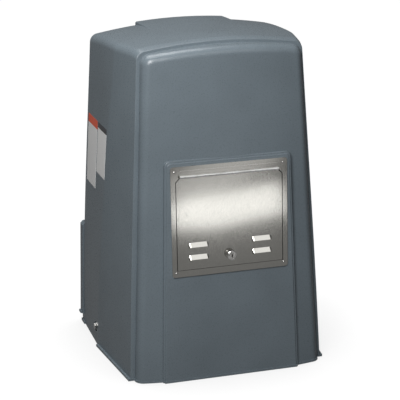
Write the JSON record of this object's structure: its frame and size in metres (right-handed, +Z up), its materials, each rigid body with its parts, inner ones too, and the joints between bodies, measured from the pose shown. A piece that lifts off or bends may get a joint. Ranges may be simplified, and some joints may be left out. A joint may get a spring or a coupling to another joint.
{
  "type": "sliding gate motor",
  "caption": "Upright floor-mounted gate operator: tapered moulded cover, hinged lockable service door, belt and worm drive to a chain sprocket between two idler wheels.",
  "frame": {"origin": "centre of the four anchor holes, on the floor face of the base plate", "axes": "+Z up, -Y out of the front where the service door is, X along the gate with +X on the right seen from the front"},
  "size_m": [0.49, 0.4336, 0.7303],
  "materials": {
    "moulded_cover": "fine orange-peel moulding texture",
    "stainless": "brushed, fine vertical grain",
    "plated_steel": "bright plating",
    "zinc_steel": "zinc plated",
    "bare_steel": "machined",
    "gear_case": "dark painted casting",
    "motor_paint": "satin paint",
    "cast_alloy": "cast and machined",
    "belt_rubber": "matte",
    "wheel_plastic": "natural nylon",
    "black_plastic": "moulded",
    "box_paint": "powder coat",
    "board": "solder mask",
    "terminal_green": "moulded",
    "open_cap": "moulded",
    "close_cap": "moulded",
    "stop_cap": "moulded",
    "core_steel": "varnished laminations",
    "sticker": "blank printed vinyl"
  },
  "bodies": {
    "housing": {"cover": "moulded_cover", "door_frame": "stainless", "frame_rivets": "plated_steel", "door_gasket": "belt_rubber", "hinge_frame_leaf": "stainless", "hinge_pin": "stainless", "base_plate": "zinc_steel", "side_plate_left": "zinc_steel", "side_plate_right": "zinc_steel", "back_plate": "zinc_steel", "motor_shelf": "zinc_steel", "cover_bolts": "plated_steel", "chassis_bolts": "plated_steel", "gearbox": "gear_case", "shaft_bearings": "bare_steel", "idler_axles": "bare_steel", "drive_belt": "belt_rubber", "motor_housing": "motor_paint", "motor_end_bells": "cast_alloy", "capacitor": "motor_paint", "transformer": "core_steel", "limit_chain": "bare_steel", "limit_bracket": "zinc_steel", "limit_switches": "black_plastic", "control_bracket": "zinc_steel", "control_box": "box_paint", "circuit_board": "board", "board_parts": "black_plastic", "terminal_strips": "terminal_green", "button_panel": "box_paint", "switch_cells": "black_plastic", "sticker_large": "sticker", "sticker_small": "sticker"},
    "door": {"door_panel": "stainless", "hinge_door_leaf": "stainless", "lock_body": "plated_steel", "lock_nut": "plated_steel"},
    "lock": {"lock_plug": "plated_steel", "lock_cam": "plated_steel", "cam_screw": "plated_steel"},
    "motor": {"motor_shaft": "bare_steel", "motor_fan": "black_plastic", "motor_pulley": "cast_alloy"},
    "worm": {"worm_shaft": "bare_steel", "worm_pulley": "cast_alloy"},
    "output": {"output_shaft": "bare_steel", "drive_sprocket": "bare_steel", "limit_drive_sprocket": "bare_steel"},
    "limit_screw": {"limit_shaft": "bare_steel", "limit_sprocket": "bare_steel"},
    "front_nut": {"limit_nut_front": "wheel_plastic"},
    "rear_nut": {"limit_nut_rear": "wheel_plastic"},
    "left_idler": {"idler_left": "wheel_plastic"},
    "right_idler": {"idler_right": "wheel_plastic"},
    "open_key": {"open_button": "open_cap"},
    "close_key": {"close_button": "close_cap"},
    "stop_key": {"stop_button": "stop_cap"},
    "rocker": {"power_rocker": "black_plastic"}
  },
  "joints": [
    {"name": "door_hinge", "type": "hinge", "parent": "housing", "child": "door", "pos_m": [0, -0.18249, 0.45487], "axis": [-1, 0, 0], "range_deg": [0, 110]},
    {"name": "lock_turn", "type": "hinge", "parent": "door", "child": "lock", "pos_m": [0, -0.18882, 0.2754], "axis": [0, 0.9978, -0.0659], "range_deg": [0, 90]},
    {"name": "motor_turn", "type": "hinge", "parent": "housing", "child": "motor", "pos_m": [0, 0.05, 0.33], "axis": [1, 0, 0], "range_deg": [0, 453600]},
    {"name": "worm_turn", "type": "hinge", "parent": "housing", "child": "worm", "pos_m": [0, 0.05, 0.15], "axis": [1, 0, 0], "range_deg": [0, 226800]},
    {"name": "output_turn", "type": "hinge", "parent": "housing", "child": "output", "pos_m": [0, 0, 0.095], "axis": [0, 1, 0], "range_deg": [0, 7560]},
    {"name": "limit_turn", "type": "hinge", "parent": "housing", "child": "limit_screw", "pos_m": [-0.105, 0, 0.15], "axis": [0, 1, 0], "range_deg": [0, 7560]},
    {"name": "front_nut_slide", "type": "slide", "parent": "housing", "child": "front_nut", "axis": [0, 1, 0], "range_m": [0, 0.04]},
    {"name": "rear_nut_slide", "type": "slide", "parent": "housing", "child": "rear_nut", "axis": [0, 1, 0], "range_m": [0, 0.04]},
    {"name": "left_idler_turn", "type": "hinge", "parent": "housing", "child": "left_idler", "pos_m": [-0.095, 0.21, 0.046], "axis": [0, 1, 0], "continuous": true},
    {"name": "right_idler_turn", "type": "hinge", "parent": "housing", "child": "right_idler", "pos_m": [0.095, 0.21, 0.046], "axis": [0, 1, 0], "continuous": true},
    {"name": "open_press", "type": "slide", "parent": "housing", "child": "open_key", "axis": [0, 1, 0], "range_m": [0, 0.003], "stiffness_N_per_m": 800, "springref_m": -0.001},
    {"name": "close_press", "type": "slide", "parent": "housing", "child": "close_key", "axis": [0, 1, 0], "range_m": [0, 0.003], "stiffness_N_per_m": 800, "springref_m": -0.001},
    {"name": "stop_press", "type": "slide", "parent": "housing", "child": "stop_key", "axis": [0, 1, 0], "range_m": [0, 0.003], "stiffness_N_per_m": 800, "springref_m": -0.001},
    {"name": "power_switch", "type": "hinge", "parent": "housing", "child": "rocker", "pos_m": [0.064, -0.118, 0.289], "axis": [1, 0, 0], "range_deg": [-8, 8]}
  ],
  "couplings": [
    {"joint": "worm_turn", "follows": "motor_turn", "ratio": 0.5},
    {"joint": "output_turn", "follows": "motor_turn", "ratio": 0.016667},
    {"joint": "limit_turn", "follows": "motor_turn", "ratio": 0.016667},
    {"joint": "front_nut_slide", "follows": "motor_turn", "m_per_rad": 0.0000050525},
    {"joint": "rear_nut_slide", "follows": "motor_turn", "m_per_rad": 0.0000050525}
  ]
}
